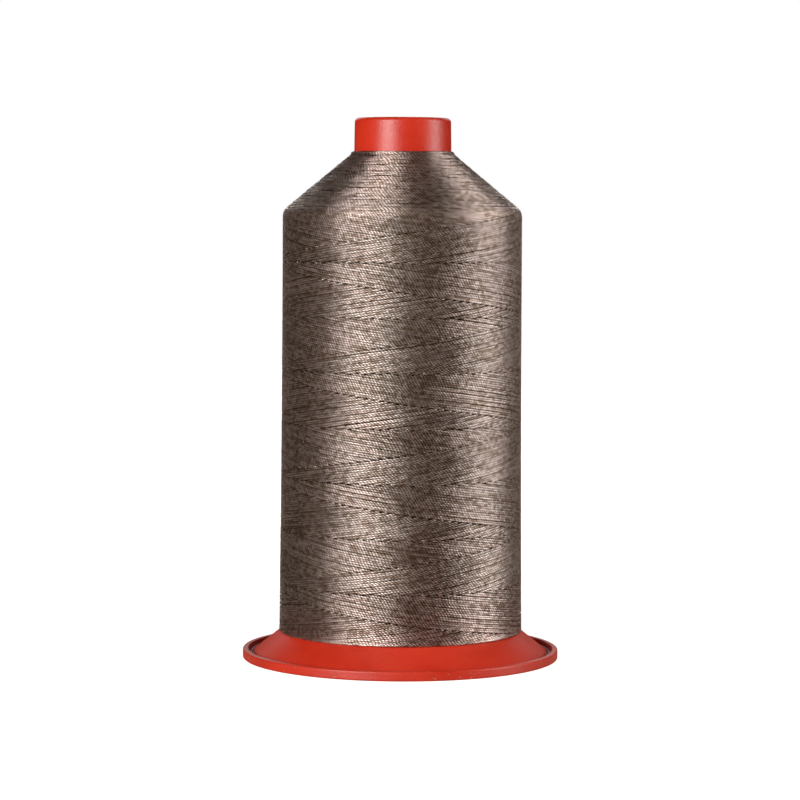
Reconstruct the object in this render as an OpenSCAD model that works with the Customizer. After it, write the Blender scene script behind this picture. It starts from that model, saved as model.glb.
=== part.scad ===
// Spool of twisted thread on a two-piece moulded spool with a clip-on foot.
// Millimetres. +Z is the spool's axis, and the origin is the bottom centre of the foot.

/* [Foot] */
// Outer radius of the foot's rim
foot_r = 32; // [26:0.5:42]
// Height of the foot's rim lip
lip_h = 1.9; // [1.5:0.1:3]
// Width of the rim lip's flat top
lip_w = 1.05; // [0.8:0.05:2]
// Width of the channel inside the lip
channel_w = 0.5; // [0.3:0.05:1]
// Thickness of the floor that the skirt closes on
floor_t = 0.7; // [0.5:0.05:1.1]
// Width of the bead between the channel and the skirt
bead_w = 0.4; // [0.3:0.05:0.6]
// Height of the bead above the floor
bead_h = 0.45; // [0.2:0.05:0.7]
// Width of the step ring where the floor climbs to the web
step_w = 1.2; // [0.8:0.1:2]
// Height of the web's underside, which is the label's recess
recess_h = 0.6; // [0.4:0.05:1]
// Thickness of the web between the step ring and the hub
web_t = 1.2; // [0.9:0.1:2]
// Number of stiffening ribs on the web
rib_count = 6; // [3:1:12]
// Thickness of a rib
rib_t = 1; // [0.7:0.1:1.6]
// Height of a rib above the web
rib_h = 1.4; // [0.8:0.1:2]

/* [Snap clip] */
// Radial thickness of the clip fingers
finger_t = 1.45; // [1:0.05:1.8]
// Number of clip fingers
finger_count = 4; // [3:1:6]
// Width of the slots between the fingers
slot_w = 2; // [1.2:0.1:3]
// Height of the solid hub under the slots, from the web's top
hub_h = 1.8; // [1:0.1:4]
// Height of the hook on each finger
hook_h = 1.2; // [0.8:0.1:2]
// Height of the ledge in the tube that the hooks catch
ledge_h = 1; // [0.8:0.1:2]
// How far the ledge stands into the socket
ledge_w = 0.55; // [0.4:0.05:0.8]
// Height from the tube's end to the ledge's underside
ledge_lift = 2.2; // [1.5:0.1:4]
// How far the body lifts off the foot to open the thread slit
snap_travel = 2.5; // [1.5:0.1:4]
// Radial clearance between the clip and the tube
clip_gap = 0.1; // [0.05:0.01:0.1]
// Clearance between the hooks and the ledge at full lift
hook_gap = 0.1; // [0.05:0.01:0.3]

/* [Skirt] */
// Slope of the skirt above the horizontal, in degrees
skirt_angle = 38.5; // [30:0.5:50]
// Wall of the skirt
skirt_wall = 1.2; // [0.9:0.1:1.6]
// Height of the closed thread slit under the skirt's edge
slit_h = 0.3; // [0.3:0.05:0.6]
// Gap between the skirt's edge and the bead
slit_w = 0.25; // [0.2:0.05:0.5]
// Height of the upright face at the skirt's edge
edge_land = 0.25; // [0.15:0.05:0.6]
// Rounding between the upright face and the slope
edge_round = 0.5; // [0.1:0.05:0.6]

/* [Tube] */
// Overall height of the spool
spool_h = 109.2; // [80:0.5:150]
// Outer radius of the tube at its top
tube_top_r = 9.7; // [9:0.1:13]
// Outer radius of the tube at its foot
tube_foot_r = 11.3; // [10.5:0.1:16]
// Wall of the tube
tube_wall = 1.3; // [1:0.1:1.8]
// Radius of the pin bore at the top
bore_r = 8; // [6:0.1:9]
// Length of the pin bore at the top
bore_len = 14; // [8:0.5:30]
// Rounding of the collar's outer top edge
collar_round = 0.9; // [0.3:0.1:1.2]
// Chamfer of the pin bore's mouth
mouth_chamfer = 0.4; // [0.2:0.1:0.6]

/* [Thread] */
// Height of the bare collar above the thread
collar_h = 6.75; // [4:0.25:15]
// Width of bare skirt outside the thread, measured across
bare_skirt = 5.15; // [2:0.05:9]
// How much wider the package is at its foot than at its shoulder
swell = 0.5; // [0:0.05:1.5]
// Slope of the shoulder above the horizontal, in degrees
shoulder_angle = 39.6; // [25:0.5:50]
// Rounding where the side turns into the shoulder
shoulder_round = 1.5; // [0.5:0.1:4]
// Thickness of the visible top layer, about two threads
layer_t = 0.9; // [0.5:0.1:2]

/* [Label] */
// Thickness of the paper label
label_t = 0.15; // [0.1:0.05:0.3]
// Margin of the web left bare on both sides of the label
label_margin = 1.3; // [0.8:0.1:3]

/* [Hidden] */
$fn = 128;

// Foot: radii from the rim inwards, then heights
lip_in_r = foot_r - lip_w;
bead_out_r = lip_in_r - channel_w;
bead_in_r = bead_out_r - bead_w;
edge_r = bead_in_r - slit_w;
edge_z = floor_t + slit_h;
seat_z = recess_h + web_t;
rim_round = 0.3;
bead_round = bead_w / 2;

// Skirt: its outer face is the cone through the top of its upright edge
skirt_rise = tan(skirt_angle);
skirt_turn = 90 - skirt_angle;
skirt_drop = skirt_wall / cos(skirt_angle);
cone_z = edge_z + edge_land;
skirt_inner_edge_r = edge_r - (skirt_drop - edge_land) / skirt_rise;
land_round = min(edge_round, edge_land / tan(skirt_turn / 2));
function skirt_z(r) = cone_z + (edge_r - r) * skirt_rise;
// The web stays this far under the skirt's inner face
web_gap = 0.5;
step_out_r = edge_r - (seat_z + web_gap + skirt_drop - cone_z) / skirt_rise;
step_in_r = step_out_r - step_w;

// Tube: a straight draft from foot to top
tube_draft = (tube_foot_r - tube_top_r) / (spool_h - collar_round - seat_z);
function tube_r(z) = tube_foot_r - (z - seat_z) * tube_draft;
socket_r = tube_foot_r - tube_wall;
ledge_r = socket_r - ledge_w;
ledge_z = seat_z + ledge_lift;
hook_z = ledge_z + ledge_h + snap_travel + hook_gap;
clip_top_z = hook_z + hook_h;
socket_top_z = clip_top_z + 2;
bore_z = spool_h - bore_len;
bore_lead = 2;

// Clip: it fits the ledge and the socket
clip_r = ledge_r - clip_gap;
hook_r = socket_r - clip_gap;
pin_r = clip_r - finger_t;
hub_top_z = seat_z + hub_h;
hub_chamfer = 0.4;

// Where the tube's face and the skirt's face meet, under the thread
join_z = (edge_r - tube_foot_r + cone_z / skirt_rise - seat_z * tube_draft) / (1 / skirt_rise - tube_draft);
join_r = tube_r(join_z);

// Thread package: a side with a slight swell and a sloping shoulder
pack_foot_r = edge_r - bare_skirt;
pack_top_r = pack_foot_r - swell;
pack_foot_z = skirt_z(pack_foot_r);
shoulder_rise = tan(shoulder_angle);
thread_top_z = spool_h - collar_h;
shoulder_z = thread_top_z - (pack_top_r - tube_r(thread_top_z)) * shoulder_rise;
shoulder_turn = 90 - shoulder_angle;
side_steps = 8;
arc_steps = 6;

function arc(c, r, from, to) =
    [for (i = [0:arc_steps]) let (a = from + (to - from) * i / arc_steps) c + r * [cos(a), sin(a)]];

// Side and shoulder of the package, inset by t, from the skirt up to the tube
function pack_outline(t) =
    let (corner_r = pack_top_r - t,
         round_r = max(shoulder_round - t, 0.2),
         drop = t / cos(shoulder_angle),
         corner_z = shoulder_z + t * shoulder_rise - drop,
         tangent = round_r * tan(shoulder_turn / 2),
         foot = pack_foot_r - t,
         low = skirt_z(foot),
         high = corner_z - tangent,
         end_z = thread_top_z - drop)
    concat(
        [for (i = [0:side_steps - 1]) let (u = i / side_steps)
            [corner_r + swell * pow(1 - u, 2), low + (high - low) * u]],
        arc([corner_r - round_r, high], round_r, 0, shoulder_turn),
        [[tube_r(end_z), end_z]]);

function reversed(list) = [for (i = [len(list) - 1:-1:0]) list[i]];

module foot_section() {
    polygon(concat(
        [[pin_r + hub_chamfer, recess_h], [step_in_r, recess_h], [step_in_r, 0]],
        arc([foot_r - rim_round, rim_round], rim_round, -90, 0),
        arc([foot_r - rim_round, lip_h - rim_round], rim_round, 0, 90),
        [[lip_in_r, lip_h], [lip_in_r, floor_t], [bead_out_r, floor_t]],
        arc([bead_out_r - bead_round, floor_t + bead_h - bead_round], bead_round, 0, 180),
        [[bead_in_r, floor_t], [step_out_r, floor_t], [step_out_r, seat_z], [clip_r, seat_z],
         [clip_r, hook_z], [hook_r, hook_z], [hook_r, hook_z + hook_h / 2], [clip_r, clip_top_z],
         [pin_r, clip_top_z], [pin_r, recess_h + hub_chamfer]]));
}

module snap_base() color("orangered") {
    difference() {
        rotate_extrude() foot_section();
        for (i = [0:finger_count - 1])
            rotate(i * 360 / finger_count)
                translate([0, -slot_w / 2, hub_top_z]) cube([foot_r, slot_w, spool_h]);
    }
    for (i = [0:rib_count - 1])
        rotate((i + 0.5) * 360 / rib_count)
            translate([tube_foot_r + 1, -rib_t / 2, recess_h + web_t / 2])
                cube([step_in_r - tube_foot_r - 1.5, rib_t, web_t / 2 + rib_h]);
}

module base_label() color("ivory")
    rotate_extrude()
        translate([pin_r + hub_chamfer + label_margin, recess_h - label_t])
            square([step_in_r - pin_r - hub_chamfer - 2 * label_margin, label_t]);

module tube_section() {
    polygon(concat(
        [[socket_r, seat_z], [tube_foot_r, seat_z]],
        arc([tube_top_r - collar_round, spool_h - collar_round], collar_round, 0, 90),
        [[bore_r + mouth_chamfer, spool_h], [bore_r, spool_h - mouth_chamfer], [bore_r, bore_z],
         [tube_r(bore_z - bore_lead) - tube_wall, bore_z - bore_lead],
         [tube_r(socket_top_z) - tube_wall, socket_top_z],
         [socket_r, socket_top_z - ledge_w],
         [socket_r, ledge_z + ledge_h], [ledge_r, ledge_z + ledge_h],
         [ledge_r, ledge_z], [socket_r, ledge_z - ledge_w]]));
}

module skirt_section() {
    wall_r = join_r - tube_wall / 2;
    polygon(concat(
        [[wall_r, skirt_z(wall_r)], [wall_r, skirt_z(wall_r) - skirt_drop],
         [skirt_inner_edge_r, edge_z], [edge_r, edge_z]],
        arc([edge_r - land_round, cone_z - land_round * tan(skirt_turn / 2)], land_round, 0, skirt_turn)));
}

module spool_body() color("orangered") {
    rotate_extrude() tube_section();
    rotate_extrude() skirt_section();
}

module thread_package() color("dimgray")
    rotate_extrude()
        polygon(concat([[join_r, join_z]], pack_outline(layer_t)));

module thread_top_layer() color("rosybrown")
    rotate_extrude()
        polygon(concat(pack_outline(0), reversed(pack_outline(layer_t))));

snap_base();
base_label();
spool_body();
thread_package();
thread_top_layer();
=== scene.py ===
import math

import bpy
import numpy as np
from mathutils import Matrix, Vector


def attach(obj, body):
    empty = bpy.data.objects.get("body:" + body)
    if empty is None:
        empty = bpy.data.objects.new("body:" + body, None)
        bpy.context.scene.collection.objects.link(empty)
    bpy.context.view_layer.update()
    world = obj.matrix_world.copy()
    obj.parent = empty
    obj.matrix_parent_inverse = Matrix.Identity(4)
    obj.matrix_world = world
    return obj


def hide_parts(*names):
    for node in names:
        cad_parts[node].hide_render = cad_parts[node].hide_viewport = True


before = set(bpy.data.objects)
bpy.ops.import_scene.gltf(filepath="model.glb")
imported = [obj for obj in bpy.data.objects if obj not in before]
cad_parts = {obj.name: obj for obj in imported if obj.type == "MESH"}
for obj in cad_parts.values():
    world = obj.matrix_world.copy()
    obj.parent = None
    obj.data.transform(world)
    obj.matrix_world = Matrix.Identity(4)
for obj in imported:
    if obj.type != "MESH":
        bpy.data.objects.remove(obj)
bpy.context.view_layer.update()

mm = 0.001
scene = bpy.context.scene
print("frame loaded:", sorted(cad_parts))


def newMesh(name, points, quads):
    # points (n, 3) in metres, quads (m, 4) vertex numbers; built in whole arrays
    mesh = bpy.data.meshes.new(name)
    mesh.vertices.add(len(points))
    mesh.vertices.foreach_set("co", np.ascontiguousarray(points, np.float32).ravel())
    mesh.loops.add(quads.size)
    mesh.loops.foreach_set("vertex_index", quads.astype(np.int32).ravel())
    mesh.polygons.add(len(quads))
    mesh.polygons.foreach_set("loop_start", np.arange(0, quads.size, 4, dtype=np.int32))
    mesh.update(calc_edges=True)
    mesh.polygons.foreach_set("use_smooth", np.ones(len(quads), bool))
    piece = bpy.data.objects.new(name, mesh)
    scene.collection.objects.link(piece)
    return piece


def addMap(piece, corners):
    # corners (faces, 4, 2): the piece's own map
    layer = piece.data.uv_layers.new(name="OFBake")
    layer.data.foreach_set("uv", np.ascontiguousarray(corners, np.float32).ravel())


def lathe(name, outline, turns):
    # A closed outline of (radius, height) pairs in mm, counter-clockwise, turned about Z:
    # x = r sin t, y = -r cos t, z = h, with t round the full circle.
    outline = np.array(outline, float) * mm
    count = len(outline)
    t = np.linspace(0, 2 * np.pi, turns, endpoint=False)
    r, h = outline[:, 0][:, None], outline[:, 1][:, None]
    points = np.stack([r * np.sin(t), -r * np.cos(t), h + 0 * t], -1).reshape(-1, 3)
    i, j = np.meshgrid(np.arange(count), np.arange(turns), indexing="ij")
    inext, jnext = (i + 1) % count, (j + 1) % turns
    quads = np.stack([i * turns + j, i * turns + jnext, inext * turns + jnext, inext * turns + j], -1)
    piece = newMesh(name, points, quads.reshape(-1, 4))
    # the map runs round the axis in u and along the outline in v
    run = np.concatenate([[0], np.cumsum(np.linalg.norm(np.roll(outline, -1, 0) - outline, axis=1))])
    run /= run[-1]
    u0, u1, v0, v1 = j / turns, (j + 1) / turns, run[i], run[i + 1]
    corners = np.stack([np.stack([u0, v0], -1), np.stack([u1, v0], -1),
                        np.stack([u1, v1], -1), np.stack([u0, v1], -1)], -2)
    addMap(piece, corners.reshape(-1, 4, 2))
    return piece


def newMaterial(name):
    material = bpy.data.materials.new(name)
    material.use_nodes = True
    tree = material.node_tree
    return material, tree, tree.nodes["Principled BSDF"]


def noiseOn(tree, place, size, detail, pull=None):
    # noise whose features are about size mm across; pull scales each axis first
    noise = tree.nodes.new("ShaderNodeTexNoise")
    noise.inputs["Scale"].default_value = 1000 / size
    noise.inputs["Detail"].default_value = detail
    source = place
    if pull:
        mapping = tree.nodes.new("ShaderNodeMapping")
        mapping.inputs["Scale"].default_value = pull
        tree.links.new(place, mapping.inputs["Vector"])
        source = mapping.outputs["Vector"]
    tree.links.new(source, noise.inputs["Vector"])
    return noise.outputs["Fac"]


def mathOn(tree, operation, first, second=0.0):
    # one Math node; a plain number goes on its socket
    step = tree.nodes.new("ShaderNodeMath")
    step.operation = operation
    for socket, value in zip(step.inputs, (first, second)):
        if isinstance(value, (int, float)):
            socket.default_value = value
        else:
            tree.links.new(value, socket)
    return step.outputs[0]


def rangeOn(tree, value, span, to=(0.0, 1.0), unit=1.0):
    # value carried from span, given in unit, to the range to, smoothly, and held at the ends
    step = tree.nodes.new("ShaderNodeMapRange")
    step.interpolation_type = "SMOOTHSTEP"
    step.inputs["From Min"].default_value = span[0] * unit
    step.inputs["From Max"].default_value = span[1] * unit
    step.inputs["To Min"].default_value = to[0]
    step.inputs["To Max"].default_value = to[1]
    tree.links.new(value, step.inputs["Value"])
    return step.outputs["Result"]


def blendOn(tree, amount, first, second):
    # first + (second - first) times amount; first and second are each a colour or a link
    mix = tree.nodes.new("ShaderNodeMix")
    mix.data_type = "RGBA"
    tree.links.new(amount, mix.inputs[0])
    for socket, value in zip((mix.inputs[6], mix.inputs[7]), (first, second)):
        if isinstance(value, tuple):
            socket.default_value = (*value, 1)
        else:
            tree.links.new(value, socket)
    return mix.outputs[2]


def bumpOn(tree, height, depth):
    # depth in mm for a height of 1
    bump = tree.nodes.new("ShaderNodeBump")
    bump.inputs["Distance"].default_value = depth * mm
    tree.links.new(height, bump.inputs["Height"])
    return bump.outputs["Normal"]


redLook = {
    "colour": (0.53, 0.027, 0.009), "deep": (0.47, 0.020, 0.006),
    "scuff": (0.60, 0.12, 0.075), "channelShade": (0.20, 0.010, 0.004),
    "mottleSize": 9.0, "mottle": (0.3, 0.7),                     # mm; noise from deep to colour
    "grainSize": 0.34, "grainDepth": 0.045,                      # mm
    "grainShare": 0.5, "satin": (0.35, 0.65), "roughness": (0.31, 0.43),      # noise to roughness
    "scuffSize": 1.1, "scuffPull": (1, 1, 2.5), "scuffs": (0.64, 0.70),       # mm; noise of a scuff
    "scuffDepth": 2.0, "rimEdge": (30.75, 31.15),                # grain depths; mm where scuffs begin
    # the dark channel ring below is painted shade for the recess and the slit under the skirt
    "channelShadeR": 30.3, "channelShadeWidth": (0.2, 0.6), "channelShadeZ": (1.2, 1.7),           # mm
    "channelShadePatches": (0.2, 0.6), "channelShadeAmount": (0.3, 0.9),       # noise to how much painted shade
}


def redPlastic():
    # a broad mottle, a fine satin grain, small pale scuffs on the rim's edge and painted shade in the
    # channel and the slit under the skirt;
    # the distance from the axis is the length of (x, y, 0)
    k = redLook
    material, tree, shader = newMaterial("redPlastic")
    place = tree.nodes.new("ShaderNodeTexCoord").outputs["Object"]
    broad = noiseOn(tree, place, k["mottleSize"], detail=3)
    grain = noiseOn(tree, place, k["grainSize"], detail=2)
    body = blendOn(tree, rangeOn(tree, broad, k["mottle"]), k["deep"], k["colour"])
    axes = tree.nodes.new("ShaderNodeSeparateXYZ")
    tree.links.new(place, axes.inputs["Vector"])
    level = tree.nodes.new("ShaderNodeCombineXYZ")
    tree.links.new(axes.outputs["X"], level.inputs["X"])
    tree.links.new(axes.outputs["Y"], level.inputs["Y"])
    length = tree.nodes.new("ShaderNodeVectorMath")
    length.operation = "LENGTH"
    tree.links.new(level.outputs["Vector"], length.inputs[0])
    outwards = length.outputs["Value"]
    # scuffs: noise above a threshold, only out on the rim
    onRim = rangeOn(tree, outwards, k["rimEdge"], unit=mm)
    specks = noiseOn(tree, place, k["scuffSize"], detail=5, pull=k["scuffPull"])
    marks = rangeOn(tree, specks, k["scuffs"])
    scuffs = mathOn(tree, "MULTIPLY", onRim, marks)
    # painted shade: a thin, slightly uneven dark ring round the set radius, low in the channel, where the
    # channel and the slit under the skirt lie in shadow
    offRing = mathOn(tree, "ABSOLUTE", mathOn(tree, "SUBTRACT", outwards, k["channelShadeR"] * mm))
    inRing = mathOn(tree, "SUBTRACT", 1.0, rangeOn(tree, offRing, k["channelShadeWidth"], unit=mm))
    low = mathOn(tree, "SUBTRACT", 1.0, rangeOn(tree, axes.outputs["Z"], k["channelShadeZ"], unit=mm))
    channelShade = mathOn(tree, "MULTIPLY", mathOn(tree, "MULTIPLY", inRing, low),
                   rangeOn(tree, broad, k["channelShadePatches"], k["channelShadeAmount"]))
    # the channel's painted shade goes over the mottle and the scuffs
    colour = blendOn(tree, channelShade, blendOn(tree, scuffs, body, k["scuff"]), k["channelShade"])
    tree.links.new(colour, shader.inputs["Base Color"])
    uneven = mathOn(tree, "ADD", mathOn(tree, "MULTIPLY", grain, k["grainShare"]),
                    mathOn(tree, "MULTIPLY", broad, 1 - k["grainShare"]))
    tree.links.new(rangeOn(tree, uneven, k["satin"], k["roughness"]), shader.inputs["Roughness"])
    height = mathOn(tree, "SUBTRACT", grain, mathOn(tree, "MULTIPLY", scuffs, k["scuffDepth"]))
    tree.links.new(bumpOn(tree, height, k["grainDepth"]), shader.inputs["Normal"])
    return material


paperLook = {
    "colour": (0.78, 0.76, 0.71), "fleck": (0.62, 0.58, 0.50),
    "fibreSize": 0.5, "fibreDepth": 0.015, "cloudSize": 5.0,     # mm
    "fibrePull": (1, 0.25, 1), "fibreShare": 0.6, "cloudShare": 0.4,
    "flecks": (0.35, 0.6), "tooth": (0.3, 0.7), "roughness": (0.72, 0.9),     # noise to colour, roughness
}


def labelPaper():
    # uncoated paper: short fibres lying mostly one way, a cloudy sheet and a slight tooth
    k = paperLook
    material, tree, shader = newMaterial("labelPaper")
    place = tree.nodes.new("ShaderNodeTexCoord").outputs["Object"]
    fibres = noiseOn(tree, place, k["fibreSize"], detail=4, pull=k["fibrePull"])
    cloud = noiseOn(tree, place, k["cloudSize"], detail=2)
    both = mathOn(tree, "ADD", mathOn(tree, "MULTIPLY", fibres, k["fibreShare"]),
                  mathOn(tree, "MULTIPLY", cloud, k["cloudShare"]))
    colour = blendOn(tree, rangeOn(tree, both, k["flecks"]), k["fleck"], k["colour"])
    tree.links.new(colour, shader.inputs["Base Color"])
    tree.links.new(rangeOn(tree, fibres, k["tooth"], k["roughness"]), shader.inputs["Roughness"])
    tree.links.new(bumpOn(tree, fibres, k["fibreDepth"]), shader.inputs["Normal"])
    return material


underlayShadeLook = {
    # both colours are painted shade: the buried turns dark, the gaps between them darker still
    "ridgeShade": (0.045, 0.024, 0.014), "gapShadow": (0.006, 0.003, 0.002), "ridgeSpan": (-0.6, 0.9),
    "pitch": 0.47, "unevenSize": 2.0, "unevenPull": (1, 1, 3),   # mm
    "waver": 9.0, "fuzz": (0.3, 0.7), "roughness": (0.7, 0.9), "specular": 0.1,     # waver in radians
}


def shadedUnderlay():
    # the turns under the surface, all in painted shade and darkest between them as painted shadow between
    # turns: the ridges follow the sine of (2 pi z / pitch + waver . noise)
    k = underlayShadeLook
    material, tree, shader = newMaterial("shadedUnderlay")
    place = tree.nodes.new("ShaderNodeTexCoord").outputs["Object"]
    uneven = noiseOn(tree, place, k["unevenSize"], detail=3, pull=k["unevenPull"])
    axes = tree.nodes.new("ShaderNodeSeparateXYZ")
    tree.links.new(place, axes.inputs["Vector"])
    turns = mathOn(tree, "MULTIPLY", axes.outputs["Z"], 2 * math.pi / (k["pitch"] * mm))
    wave = mathOn(tree, "SINE", mathOn(tree, "ADD", turns, mathOn(tree, "MULTIPLY", uneven, k["waver"])))
    colour = blendOn(tree, rangeOn(tree, wave, k["ridgeSpan"]), k["gapShadow"], k["ridgeShade"])
    tree.links.new(colour, shader.inputs["Base Color"])
    tree.links.new(rangeOn(tree, uneven, k["fuzz"], k["roughness"]), shader.inputs["Roughness"])
    shader.inputs["Specular IOR Level"].default_value = k["specular"]
    return material


threadLook = {
    # the groove colour is painted shade, for the grooves between plies and the ends that dive under
    "light": (1.0, 0.83, 0.77), "dark": (0.40, 0.291, 0.222), "grooveShade": (0.040, 0.018, 0.008),
    "grooveShadeWidth": 0.68, "roughness": 0.285, "metallic": 0.95,
}


def threadMaterial():
    # the run's own tone (green paint), darkened by red to a power into painted shade in the grooves between
    # plies and on the ends that dive under
    k = threadLook
    material, tree, shader = newMaterial("waxedThread")
    paint = tree.nodes.new("ShaderNodeAttribute")
    paint.attribute_name = "threadPaint"
    parts = tree.nodes.new("ShaderNodeSeparateColor")
    tree.links.new(paint.outputs["Color"], parts.inputs["Color"])
    tone = blendOn(tree, parts.outputs["Green"], k["dark"], k["light"])
    deep = mathOn(tree, "POWER", parts.outputs["Red"], k["grooveShadeWidth"])
    # painted shade: the grooves between plies and the diving ends blend to the groove colour
    tree.links.new(blendOn(tree, deep, tone, k["grooveShade"]), shader.inputs["Base Color"])
    shader.inputs["Roughness"].default_value = k["roughness"]
    shader.inputs["Metallic"].default_value = k["metallic"]
    return material


red, threadSkin, underlayShade = redPlastic(), threadMaterial(), shadedUnderlay()
# thread_package, like the shell under the top turns, wears the dark painted-shade underlay
for name, finish in (("spool_body", red), ("snap_base", red), ("base_label", labelPaper()),
                     ("thread_package", underlayShade)):
    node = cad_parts[name]
    node.data.materials.clear()
    node.data.materials.append(finish)
print("materials ready")


def dress(piece, material, body, replaced):
    piece.data.materials.clear()
    piece.data.materials.append(material)
    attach(piece, body)
    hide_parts(replaced)
    print(piece.name, len(piece.data.polygons) * 2, "triangles")


package = {
    "footR": 24.65, "topR": 24.15, "tubeR": 9.79,                # mm
    "footZ": 5.35, "sideTopZ": 89.25, "shoulderZ": 90.57, "topZ": 102.45,
    "cornerR": 2.8, "shoulderDegrees": 39.6,
    "sidePoints": 60, "cornerPoints": 12, "shoulderPoints": 40,
}


def packageOutline():
    # height, radius and outward normal along the package: a side that swells towards the foot as
    # (1 - u) squared, a round corner, then the straight shoulder
    p = package
    u = np.linspace(0, 1, p["sidePoints"])
    side = np.stack([p["topR"] + (p["footR"] - p["topR"]) * (1 - u) ** 2,
                     p["footZ"] + (p["sideTopZ"] - p["footZ"]) * u], -1)
    turn = np.radians(np.linspace(0, 90 - p["shoulderDegrees"], p["cornerPoints"]))[1:]
    corner = np.stack([p["topR"] - p["cornerR"] * (1 - np.cos(turn)),
                       p["sideTopZ"] + p["cornerR"] * np.sin(turn)], -1)
    end = np.array([[p["tubeR"], p["topZ"]]])
    slant = corner[-1] + (end - corner[-1]) * np.linspace(0, 1, p["shoulderPoints"])[1:, None]
    line = np.concatenate([side, corner, slant])
    slope = np.gradient(line, axis=0)
    slope /= np.linalg.norm(slope, axis=1, keepdims=True)
    return line[:, 1], line[:, 0], slope[:, 1], -slope[:, 0]


outlineZ, outlineR, outlineNr, outlineNz = packageOutline()


def outlineAt(z):
    # the outline's radius and its normal's two parts at the heights z, read between its points
    return (np.interp(z, outlineZ, outlineR), np.interp(z, outlineZ, outlineNr),
            np.interp(z, outlineZ, outlineNz))


def smooth(t):
    # t squared times (3 - 2 t), held at 0 and 1
    t = np.clip(t, 0, 1)
    return t * t * (3 - 2 * t)


def wander(random, threads, x, step, size):
    # a slow random drift along each thread: random values every step radians, joined smoothly
    knots = random.normal(0, size, (threads, int(np.ptp(x) / step) + 3))
    at = (x - x.min()) / step
    low = at.astype(int)
    part = smooth(at - low)
    return knots[:, low] * (1 - part) + knots[:, low + 1] * part


def wanders(random, threads, x, drifts, start=0):
    # start plus one drift for each (step, size)
    return sum((wander(random, threads, x, step, size) for step, size in drifts), start)


def patches(random, threads, x, step, group, size):
    # a drift that neighbouring threads share: random values every step radians and every group
    # threads, joined smoothly both ways
    rows = wander(random, threads // group + 2, x, step, size)
    at = np.arange(threads) / group
    low = at.astype(int)
    part = smooth(at - low)[:, None]
    return rows[low] * (1 - part) + rows[low + 1] * part


thread = {
    "threadR": 0.228, "valleyR": 0.147, "lay": 1.3,              # mm
    "flat": 0.62,                                                # its height, pressed by the tension
    "corners": (-29, 29, 90, 151, 209, 270),                     # degrees: two on each ply's back,
    "valleys": (0, 0, 1, 0, 0, 1),                               # and one in each valley between
    "ringsPerLay": 5,
    "segmentsPerRow": 256, "mapInset": 0.04, "capMap": (0.2, 0.8),            # how it lies on its map
}


def layThread(theta, z, sink):
    # A thread's middle line, at the angle theta and the outline's height z: the point is the outline's
    # less sink . normal, turned about Z. It comes with the normal and the tangent there.
    radius, nr, nz = outlineAt(z)
    r, z = radius - sink * nr, z - sink * nz
    sin, cos = np.sin(theta), np.cos(theta)
    centre = np.stack([r * sin, -r * cos, z], -1)
    normal = np.stack([nr * sin, -nr * cos, nz], -1)
    tangent = np.gradient(centre, axis=1)
    tangent /= np.linalg.norm(tangent, axis=-1, keepdims=True)
    return dict(centre=centre, normal=normal, tangent=tangent)


def sweepTubes(name, keep, centre, normal, tangent, phase, tone, shade):
    # A two-ply thread, swept wherever keep is true. Each ring's corners turn with the lay:
    # point = centre + rho (flat cos a . normal + sin a . binormal), where rho is less in a valley.
    k = thread
    binormal = np.cross(tangent, normal)
    binormal /= np.linalg.norm(binormal, axis=-1, keepdims=True)
    sides = len(k["corners"])
    angle = phase[..., None] + np.radians(k["corners"])
    valley = np.array(k["valleys"])
    rho = np.where(valley, k["valleyR"], k["threadR"])
    ring = rho * np.cos(angle) * k["flat"], rho * np.sin(angle)
    used = np.full(keep.shape, -1)
    used[keep] = np.arange(keep.sum())
    points = (centre[keep][:, None] + ring[0][keep][..., None] * normal[keep][:, None]
              + ring[1][keep][..., None] * binormal[keep][:, None])
    joined = keep[:, :-1] & keep[:, 1:]
    first, second = used[:, :-1][joined], used[:, 1:][joined]
    j = np.arange(sides)
    jnext = (j + 1) % sides
    quads = np.stack([first[:, None] * sides + j, second[:, None] * sides + j,
                      second[:, None] * sides + jnext, first[:, None] * sides + jnext], -1).reshape(-1, 4)
    # each end is closed by two four-sided faces
    padded = np.pad(keep, ((0, 0), (1, 1)))
    starts = used[keep & ~padded[:, :-2]]
    ends = used[keep & ~padded[:, 2:]]
    cap = np.array([[0, 1, 2, 5], [2, 3, 4, 5]])
    caps = np.concatenate([(starts[:, None, None] * sides + cap).reshape(-1, 4),
                           (ends[:, None, None] * sides + cap[:, ::-1]).reshape(-1, 4)])
    piece = newMesh(name, points.reshape(-1, 3) * mm, np.concatenate([quads, caps]))
    # map: the segments fill the rows of a sheet, and all the caps share one spot
    perRow, inset = k["segmentsPerRow"], k["mapInset"]
    number = np.arange(len(first))
    rows = -(-len(first) // perRow)
    column, row = number % perRow, number // perRow
    u = (column[:, None] + np.array([0, 1, 1, 0])[None]) / perRow
    v0 = (row[:, None] + inset + (1 - 2 * inset) * j[None] / sides) / rows
    v1 = (row[:, None] + inset + (1 - 2 * inset) * (j[None] + 1) / sides) / rows
    uv = np.empty((len(first), sides, 4, 2))
    uv[..., 0] = u[:, None, :]
    uv[..., 0, 1] = uv[..., 1, 1] = v0
    uv[..., 2, 1] = uv[..., 3, 1] = v1
    a, b = k["capMap"]
    spot = np.array([[a, a], [b, a], [b, b], [a, b]]) / (perRow, rows)
    addMap(piece, np.concatenate([uv.reshape(-1, 4, 2), np.broadcast_to(spot, (len(caps), 4, 2))]))
    # paint: painted shade in the grooves and on the ends that dive under in red, the run's tone in green
    paint = np.ones((len(points), sides, 4))
    paint[..., 0] = np.maximum(valley, shade[keep][:, None])
    paint[..., 1] = tone[keep][:, None]
    layer = piece.data.color_attributes.new("threadPaint", "FLOAT_COLOR", "POINT")
    layer.data.foreach_set("color", paint.astype(np.float32).ravel())
    dress(piece, threadSkin, "spool", "thread_top_layer")


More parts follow.
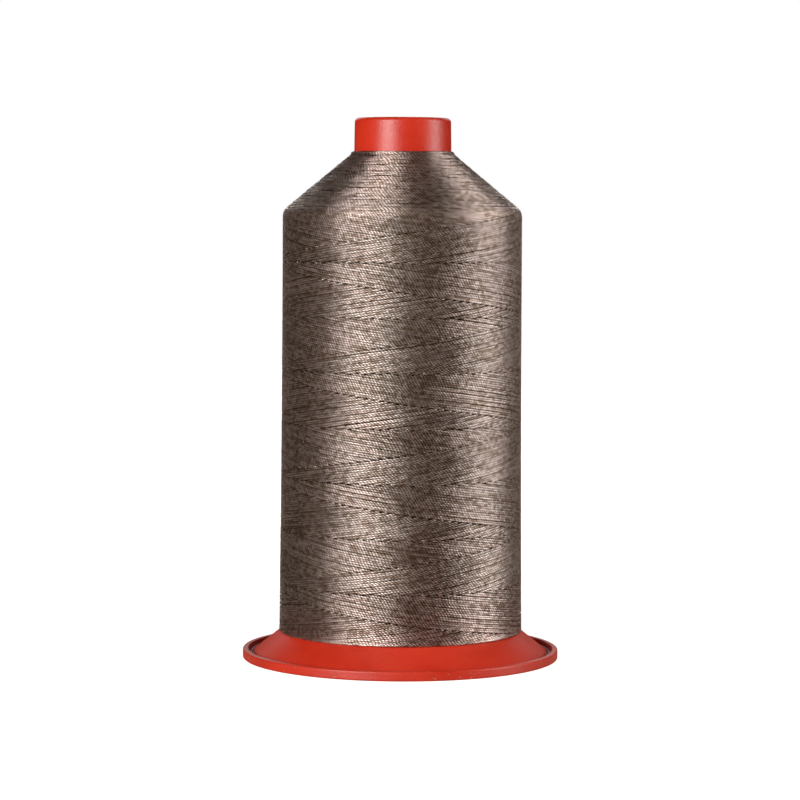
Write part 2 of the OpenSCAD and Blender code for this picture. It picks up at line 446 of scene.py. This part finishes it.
winding = {
    "starts": 48, "rows": 8,                                     # turns side by side; rows of crossings
    "topZ": 90.5, "footZ": 5.75, "underDepth": 0.36,             # mm
    "turnRound": 0.5, "overrun": 0.3, "lastTurnDegrees": 90.0,   # radians, but for the last
    "crossing": (0.15, 0.7),                                     # its share before a climb, and for it
    "leastLevel": 0.02, "hiddenRings": 2,                        # what stays of a run under the others
    "heightPoints": 4000,
    # drifts are (radians between random values, size), patches (radians, threads, size)
    "pairGap": 0.004, "pairMost": 0.026, "pairPatch": (0.9, 5, 0.018),                        # mm
    "sideDrifts": ((0.9, 0.018), (0.25, 0.012), (0.09, 0.011)), "sideSpread": 0.013,          # mm
    "sinkDrift": (0.5, 0.012),                                                                # mm
    "lean": 1.2, "leanSpread": 0.3, "leanDrift": (0.12, 0.3), "leanPatch": (0.4, 4, 0.8),     # radians
    "tone": 0.55, "toneSpread": 0.12, "toneDrifts": ((0.4, 0.11), (0.025, 0.4), (0.06, 0.12)),
    "shade": 2.8,                                                # how soon a diving run darkens
    "seed": 7,
}
shift = 2 * np.pi / winding["starts"]                 # angle between one turn and the next beside it
travel = winding["rows"] * np.pi - shift / 2          # angle of one traverse from top to foot
climb = ((winding["topZ"] - winding["footZ"])         # mm a radian
         / (math.hypot(travel, winding["turnRound"]) - winding["turnRound"]))


def windingHeights():
    # angle travelled since the top reversal, as a function of height:
    # x = half of h(top - z) - h(z - foot) + h(top - foot), where h(d) is the square root of
    # (d / climb + turnRound) squared less turnRound squared
    top, foot, turnRound = winding["topZ"], winding["footZ"], winding["turnRound"]

    def h(d):
        return np.sqrt((d / climb + turnRound) ** 2 - turnRound ** 2)

    blend = (1 - np.cos(np.linspace(0, np.pi, winding["heightPoints"]))) / 2
    z = top + (foot - top) * blend
    return (h(top - z) - h(z - foot) + h(top - foot)) / 2, z


tableX, tableZ = windingHeights()


def crossingTurns(rising):
    # One set of parallel turns. The falling set has theta = start + x, the rising one start - x, and
    # z comes from the heights above. Turn number 0 was laid last: each turn lies over the other
    # set's older turns and dips under its newer ones between two crossings.
    k = winding
    random = np.random.default_rng(k["seed"] + rising)
    count = k["starts"]
    step = thread["lay"] / thread["ringsPerLay"] / package["topR"]
    x = np.arange(-k["overrun"], travel + k["overrun"], step)
    if rising:
        x = x[::-1]                                   # so that both sets run with a growing angle
    way = -1 if rising else 1
    folded = np.where(x < 0, -x, np.where(x > travel, 2 * travel - x, x))
    number = np.arange(count)[:, None]
    theta = math.radians(k["lastTurnDegrees"]) + number * shift + way * x
    age = (number + way * 2 * x / shift) % count
    newest = number + rising

    def over(turn):
        return (turn % count >= newest).astype(float)

    low = np.floor(age)
    begin, share = k["crossing"]
    level = over(low) + (over(low + 1) - over(low)) * smooth((age - low - begin) / share)
    # at a reversal the thread comes from under its neighbours
    lap = shift / 2
    if rising:
        level = np.where(x > travel, 1 - smooth((x - travel) / lap), np.where(x < 0, 0, level))
    else:
        level = np.where(x < 0, 1 - smooth(-x / lap), np.where(x > travel, 0, level))
    pair = np.clip(k["pairGap"] + patches(random, count, x, *k["pairPatch"]), 0, k["pairMost"])
    side = (wanders(random, count, x, k["sideDrifts"]) + random.normal(0, k["sideSpread"], (count, 1))
            + np.where(number % 2 == 0, 1, -1) * pair)
    z = np.interp(folded, tableX, tableZ) + side
    sink = (thread["threadR"] * thread["flat"] + k["underDepth"] * (1 - level)
            - wander(random, count, x, *k["sinkDrift"]))
    turns = layThread(theta, z, sink)
    lean = way * k["lean"] * number + np.cumsum(random.normal(0, k["leanSpread"], (count, 1)), axis=0)
    lean = lean + wander(random, count, x, *k["leanDrift"]) + patches(random, count, x, *k["leanPatch"])
    tone = k["tone"] + random.normal(0, k["toneSpread"], (count, 1))
    tone = wanders(random, count, x, k["toneDrifts"], tone)
    band = np.clip((folded // np.pi).astype(int), 0, k["rows"] - 1)
    return dict(turns, phase=2 * np.pi * theta * package["topR"] / thread["lay"] + lean,
                tone=np.clip(tone, 0, 1), shade=smooth((1 - level) * k["shade"]),
                level=level, band=np.broadcast_to(band, level.shape))


def buildWinding():
    # both sets together, cut into one piece for each row of crossings
    sets = [crossingTurns(True), crossingTurns(False)]
    turns = {name: np.concatenate([one[name] for one in sets]) for name in sets[0]}
    level, band = turns.pop("level"), turns.pop("band")
    for row in range(winding["rows"]):
        keep = (level > winding["leastLevel"]) & (band == row)
        for ring in range(winding["hiddenRings"]):    # a run goes on a little under the threads over it
            grown = keep.copy()
            grown[:, 1:] |= keep[:, :-1]
            grown[:, :-1] |= keep[:, 1:]
            keep = grown
        sweepTubes(f"windingBand{row + 1}", keep, **turns)


buildWinding()

shoulder = {
    "starts": 7, "pitch": 0.47, "firstS": 0.3, "endGap": 0.3, "leastS": 0.02,             # mm
    "meanR": 17.5,                                               # mm, sets the rings' spacing
    "pieces": 2, "split": 0.6, "seed": 12,                       # split: the power that shares them out
    "topTurns": (0.14, 0.56), "topLift": (0.10, 0.26), "topStart": 3.5, "topLap": 0.02,   # mm, starts, rad
    # drifts are (radians between random values, size), fields are sizes
    "slantDrifts": ((0.3, 0.055), (0.12, 0.018)), "slantField": 0.03, "sinkDrift": (0.25, 0.03),      # mm
    "strokeLean": 1.2, "leanField": 0.9, "leanDrift": (0.12, 0.25),                       # radians
    "tone": 0.52, "toneDrifts": ((0.5, 0.1), (0.03, 0.4)),
    "fieldWaves": 9, "fieldTurns": (1, 12), "fieldRun": 1.6, "fieldStart": 6.28,          # rad a mm, rad
}


def smoothField(random, theta, s, size):
    # a slow random drift over the cone: sines of whole turns of the angle and of the slant
    total = 0
    for wave in range(shoulder["fieldWaves"]):
        turns = random.integers(*shoulder["fieldTurns"])
        run = random.uniform(-shoulder["fieldRun"], shoulder["fieldRun"])
        start = random.uniform(0, shoulder["fieldStart"])
        total = total + np.sin(turns * theta + run * s + start)
    return size * total / math.sqrt(shoulder["fieldWaves"] / 2)


def shoulderTurns():
    # Nearly level turns on the shoulder: a spiral of several starts, on the outline at the slant
    # s = firstS + pitch . starts . turns, wavering, so that neighbours lap over each other here and
    # there. The lays to a round stay a multiple of the starts, which keeps neighbours' plies in step.
    k = shoulder
    random = np.random.default_rng(k["seed"])
    starts, pitch = k["starts"], k["pitch"]
    slant = math.hypot(package["topR"] - package["tubeR"], package["topZ"] - package["shoulderZ"])
    slant -= k["endGap"]
    step = thread["lay"] / thread["ringsPerLay"] / k["meanR"]
    t = np.arange(0, slant / (starts * pitch) * 2 * np.pi, step)
    # the last rows are single level turns that lie over the spiral's beginnings
    count = starts + len(k["topTurns"])
    number = np.concatenate([np.arange(starts), np.full(count - starts, k["topStart"])])[:, None]
    theta = t + number * 2 * np.pi / starts
    level = k["firstS"] + pitch * starts * t / (2 * np.pi)
    level = np.concatenate([np.broadcast_to(level, (starts, len(t))),
                            np.array(k["topTurns"])[:, None] + 0 * t])
    lift = np.concatenate([np.zeros(starts), k["topLift"]])[:, None]
    s = (wanders(random, count, t, k["slantDrifts"], level)
         + smoothField(random, theta, level, k["slantField"]))
    up = math.radians(package["shoulderDegrees"])
    z = package["topZ"] - np.maximum(s, k["leastS"]) * math.sin(up)
    sink = thread["threadR"] * thread["flat"] - wander(random, count, t, *k["sinkDrift"]) - lift
    turns = layThread(theta, z, sink)
    lays = starts * np.round(2 * np.pi * (package["tubeR"] + level * math.cos(up)) / thread["lay"] / starts)
    phase = (number * 2 * np.pi / starts * lays[:, :1] + np.cumsum(lays, axis=1) * step
             - k["strokeLean"] * level / pitch)
    phase = (phase + smoothField(random, theta, level, k["leanField"])
             + wander(random, count, t, *k["leanDrift"]))
    tone = np.clip(wanders(random, count, t, k["toneDrifts"], k["tone"]), 0, 1)
    wound = (np.arange(count)[:, None] < starts) | (t < 2 * np.pi + k["topLap"])
    part = np.minimum((t / t[-1]) ** k["split"] * k["pieces"], k["pieces"] - 1).astype(int)
    for n in range(k["pieces"]):
        sweepTubes(f"shoulderTurns{n + 1}", wound & (part == n), phase=phase, tone=tone,
                   shade=np.zeros(z.shape), **turns)


shoulderTurns()

shell = {
    "depth": 0.40, "thick": 0.35, "footZ": 6.0,                  # mm, the first under the surface
    "turns": 144, "every": 2,                                    # corners round; of the outline's points
}


def buriedTurns():
    # the package just under its top turns: its outline moved inwards by depth, and back by
    # depth + thick, turned about the axis
    use = np.flatnonzero(outlineZ > shell["footZ"])[::shell["every"]]
    z, r, nr, nz = outlineZ[use], outlineR[use], outlineNr[use], outlineNz[use]
    outer = np.stack([r - shell["depth"] * nr, z - shell["depth"] * nz], -1)
    deep = shell["depth"] + shell["thick"]
    inner = np.stack([r - deep * nr, z - deep * nz], -1)[::-1]
    piece = lathe("buriedTurns", np.concatenate([outer, inner]), shell["turns"])
    # the shell wears the painted-shade underlay, so the gaps between the top turns show dark
    dress(piece, underlayShade, "spool", "thread_top_layer")


buriedTurns()


def cameraOnly(tree, others, seen, output):
    # camera rays get seen, and all other rays get others
    path = tree.nodes.new("ShaderNodeLightPath")
    mix = tree.nodes.new("ShaderNodeMixShader")
    tree.links.new(path.outputs["Is Camera Ray"], mix.inputs[0])
    tree.links.new(others, mix.inputs[1])
    tree.links.new(seen, mix.inputs[2])
    tree.links.new(mix.outputs[0], output.inputs["Surface"])


floorLook = {
    "colour": (0.46, 0.38, 0.31), "roughness": 0.9, "halfSide": 3.0,
    "drop": 0.02,                                     # mm, just clear of the foot's underside
    "glow": (0.94, 1.0), "fade": (0.04, 0.16),        # the glow near the object and far off, m
}


def paleFloor():
    # only the camera sees the glow, so the ground stays white and throws no extra light
    k = floorLook
    size, drop = k["halfSide"], -k["drop"] * mm
    floor = newMesh("floor", np.array([[-size, -size, drop], [size, -size, drop], [size, size, drop],
                                       [-size, size, drop]]), np.array([[0, 1, 2, 3]]))
    material, tree, shader = newMaterial("paleFloor")
    shader.inputs["Base Color"].default_value = (*k["colour"], 1)
    shader.inputs["Roughness"].default_value = k["roughness"]
    shader.inputs["Specular IOR Level"].default_value = 0
    away = tree.nodes.new("ShaderNodeVectorMath")
    away.operation = "LENGTH"
    tree.links.new(tree.nodes.new("ShaderNodeTexCoord").outputs["Object"], away.inputs[0])
    glow = tree.nodes.new("ShaderNodeEmission")
    tree.links.new(rangeOn(tree, away.outputs["Value"], k["fade"], k["glow"]), glow.inputs["Strength"])
    both = tree.nodes.new("ShaderNodeAddShader")
    tree.links.new(shader.outputs[0], both.inputs[0])
    tree.links.new(glow.outputs[0], both.inputs[1])
    cameraOnly(tree, shader.outputs[0], both.outputs[0], tree.nodes["Material Output"])
    floor.data.materials.append(material)


fillLook = {"colour": (1.0, 0.47, 0.15), "strength": 0.03}


def warmFill():
    # a weak warm light from all round, with white behind the object
    world = bpy.data.worlds.new("studio")
    world.use_nodes = True
    scene.world = world
    tree = world.node_tree
    fill = tree.nodes["Background"]
    fill.inputs["Color"].default_value = (*fillLook["colour"], 1)
    fill.inputs["Strength"].default_value = fillLook["strength"]
    white = tree.nodes.new("ShaderNodeBackground")
    white.inputs["Color"].default_value = (1, 1, 1, 1)
    cameraOnly(tree, fill.outputs[0], white.outputs[0], tree.nodes["World Output"])


# azimuth in degrees, 0 at the camera's side and growing to the right; then height, distance, width
# and tall in m, and power in W
softBoxes = {
    "keyLight": (-36, 0.20, 0.9, 0.50, 0.95, 16.2),
    "sideLight": (82, 0.20, 0.9, 0.38, 0.95, 9.6),
    "backLight": (180, 0.45, 0.9, 0.90, 0.30, 1.6),
}
aim = Vector((0, 0, 0.055))


def softBox(name, azimuth, height, distance, width, tall, power):
    # place = (distance sin a, -distance cos a, height), turned to face the aim
    a = math.radians(azimuth)
    lamp = bpy.data.lights.new(name, "AREA")
    lamp.shape = "RECTANGLE"
    lamp.size, lamp.size_y, lamp.energy = width, tall, power
    holder = bpy.data.objects.new(name, lamp)
    place = Vector((distance * math.sin(a), -distance * math.cos(a), height))
    holder.location = place
    holder.rotation_euler = (aim - place).to_track_quat("-Z", "Y").to_euler()
    scene.collection.objects.link(holder)


cameraLook = {
    "lens": 133.47, "sensor": 36, "farClip": 20,                 # mm, mm, m
    "place": (-0.0003, -0.5992, 0.09378), "downDegrees": 3.959, "rollDegrees": 0.3,
}


def buildCamera():
    k = cameraLook
    camera = bpy.data.cameras.new("camera")
    camera.lens, camera.sensor_width, camera.clip_end = k["lens"], k["sensor"], k["farClip"]
    holder = bpy.data.objects.new("camera", camera)
    turn = (Matrix.Rotation(math.radians(90 - k["downDegrees"]), 4, "X")
            @ Matrix.Rotation(math.radians(k["rollDegrees"]), 4, "Z"))
    holder.matrix_world = Matrix.Translation(k["place"]) @ turn
    scene.collection.objects.link(holder)
    scene.camera = holder


paleFloor()
warmFill()
for name, numbers in softBoxes.items():
    softBox(name, *numbers)
buildCamera()
scene.view_settings.view_transform = "Standard"
print("floor, lights and camera ready")
